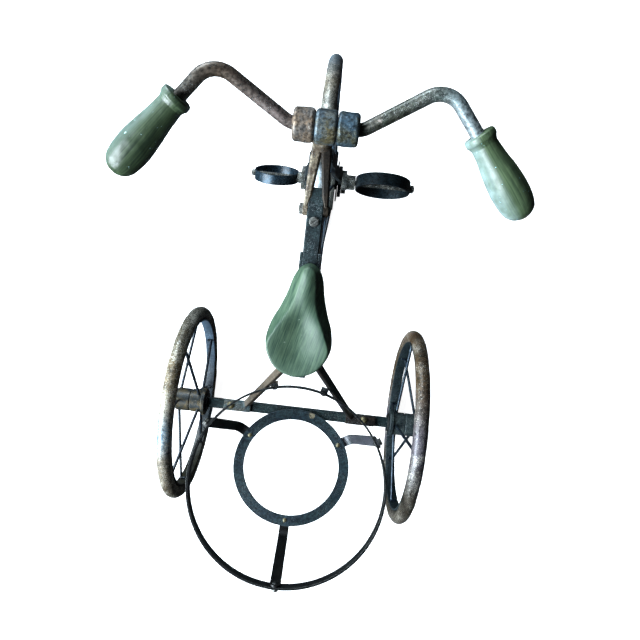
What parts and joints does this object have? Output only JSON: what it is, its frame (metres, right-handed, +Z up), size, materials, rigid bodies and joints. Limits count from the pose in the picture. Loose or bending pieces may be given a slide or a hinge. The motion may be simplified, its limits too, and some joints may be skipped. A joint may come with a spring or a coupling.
{
  "type": "velocipede tricycle plant stand",
  "caption": "Small antique-style iron tricycle that holds a plant pot: spoked wheels, turning fork with pedals, wooden seat and grips, and a hoop with a base ring behind.",
  "frame": {"origin": "on the floor, under the middle of the overall length and width", "axes": "+Y forward, in the direction of travel; +X to the right; +Z up"},
  "size_m": [0.3738, 0.6541, 0.4316],
  "materials": {
    "tyre_patina": "aged, rust-stained and speckled",
    "dark_iron": "worn blue-black paint",
    "bare_iron": "worn brown paint over bare iron",
    "rusty_bar": "rust-brown patina",
    "worn_iron": "cream paint worn to dark brown iron",
    "hub_iron": "oxidised grey-brown iron",
    "hardware": "dulled steel",
    "seat_paint": "sage-green painted wood with brush streaks",
    "grip_paint": "glossy olive-green painted wood, chipped"
  },
  "bodies": {
    "frame": {"axle_beam": "dark_iron", "backbone": "dark_iron", "backbone_screw": "hardware", "cross_bolts": "hardware", "cross_bolt_nuts": "hardware", "head_tube": "worn_iron", "hoop_bolts": "hardware", "hoop_nuts": "hardware", "hoop_strut_rivets": "hardware", "neck_plate_left": "worn_iron", "neck_plate_right": "worn_iron", "pot_hoop": "dark_iron", "pot_ring": "dark_iron", "rear_axle_nuts": "hardware", "rear_axle_washers": "hardware", "ring_rivets": "hardware", "seat": "seat_paint", "seat_bracket": "dark_iron", "seat_screws": "hardware", "strap_left": "dark_iron", "strap_rear": "dark_iron", "strap_right": "dark_iron", "strut_foot_bolts": "hardware", "strut_foot_nuts": "hardware", "strut_left": "bare_iron", "strut_right": "bare_iron"},
    "fork_and_bar": {"steerer": "rusty_bar", "fork_crown": "worn_iron", "crown_rivet": "worn_iron", "steering_washer": "rusty_bar", "fork_blade_left": "worn_iron", "fork_blade_right": "worn_iron", "stem_sleeve": "rusty_bar", "collar_left": "rusty_bar", "collar_right": "rusty_bar", "collar_screws": "rusty_bar", "handlebar": "rusty_bar", "grip_left": "grip_paint", "grip_right": "grip_paint"},
    "front_wheel": {"front_tyre": "tyre_patina", "front_rim": "dark_iron", "front_spokes": "dark_iron", "front_hub": "hub_iron", "front_axle": "hub_iron", "front_hub_washers": "hub_iron", "crank_left": "worn_iron", "crank_right": "worn_iron", "crank_nuts": "hardware", "pedal_spindles": "hub_iron", "pedal_nuts": "hardware"},
    "pedal_left": {"pedal_ring_left": "dark_iron"},
    "pedal_right": {"pedal_ring_right": "dark_iron"},
    "rear_wheel_left": {"rear_tyre_left": "tyre_patina", "rear_rim_left": "dark_iron", "rear_spokes_left": "dark_iron", "rear_hub_left": "hub_iron"},
    "rear_wheel_right": {"rear_tyre_right": "tyre_patina", "rear_rim_right": "dark_iron", "rear_spokes_right": "dark_iron", "rear_hub_right": "hub_iron"}
  },
  "joints": [
    {"name": "steering", "type": "hinge", "parent": "frame", "child": "fork_and_bar", "pos_m": [0, 0.14505, 0.35], "axis": [0, 0, 1], "range_deg": [-45, 45]},
    {"name": "front_wheel_spin", "type": "hinge", "parent": "fork_and_bar", "child": "front_wheel", "pos_m": [0, 0.17505, 0.152], "axis": [1, 0, 0], "continuous": true},
    {"name": "pedal_left_spin", "type": "hinge", "parent": "front_wheel", "child": "pedal_left", "pos_m": [-0.072, 0.19956, 0.07427], "axis": [1, 0, 0], "continuous": true},
    {"name": "pedal_right_spin", "type": "hinge", "parent": "front_wheel", "child": "pedal_right", "pos_m": [0.072, 0.15054, 0.22973], "axis": [1, 0, 0], "continuous": true},
    {"name": "rear_wheel_left_spin", "type": "hinge", "parent": "frame", "child": "rear_wheel_left", "pos_m": [-0.144, -0.13695, 0.127], "axis": [1, 0, 0], "continuous": true},
    {"name": "rear_wheel_right_spin", "type": "hinge", "parent": "frame", "child": "rear_wheel_right", "pos_m": [0.144, -0.13695, 0.127], "axis": [1, 0, 0], "continuous": true}
  ]
}
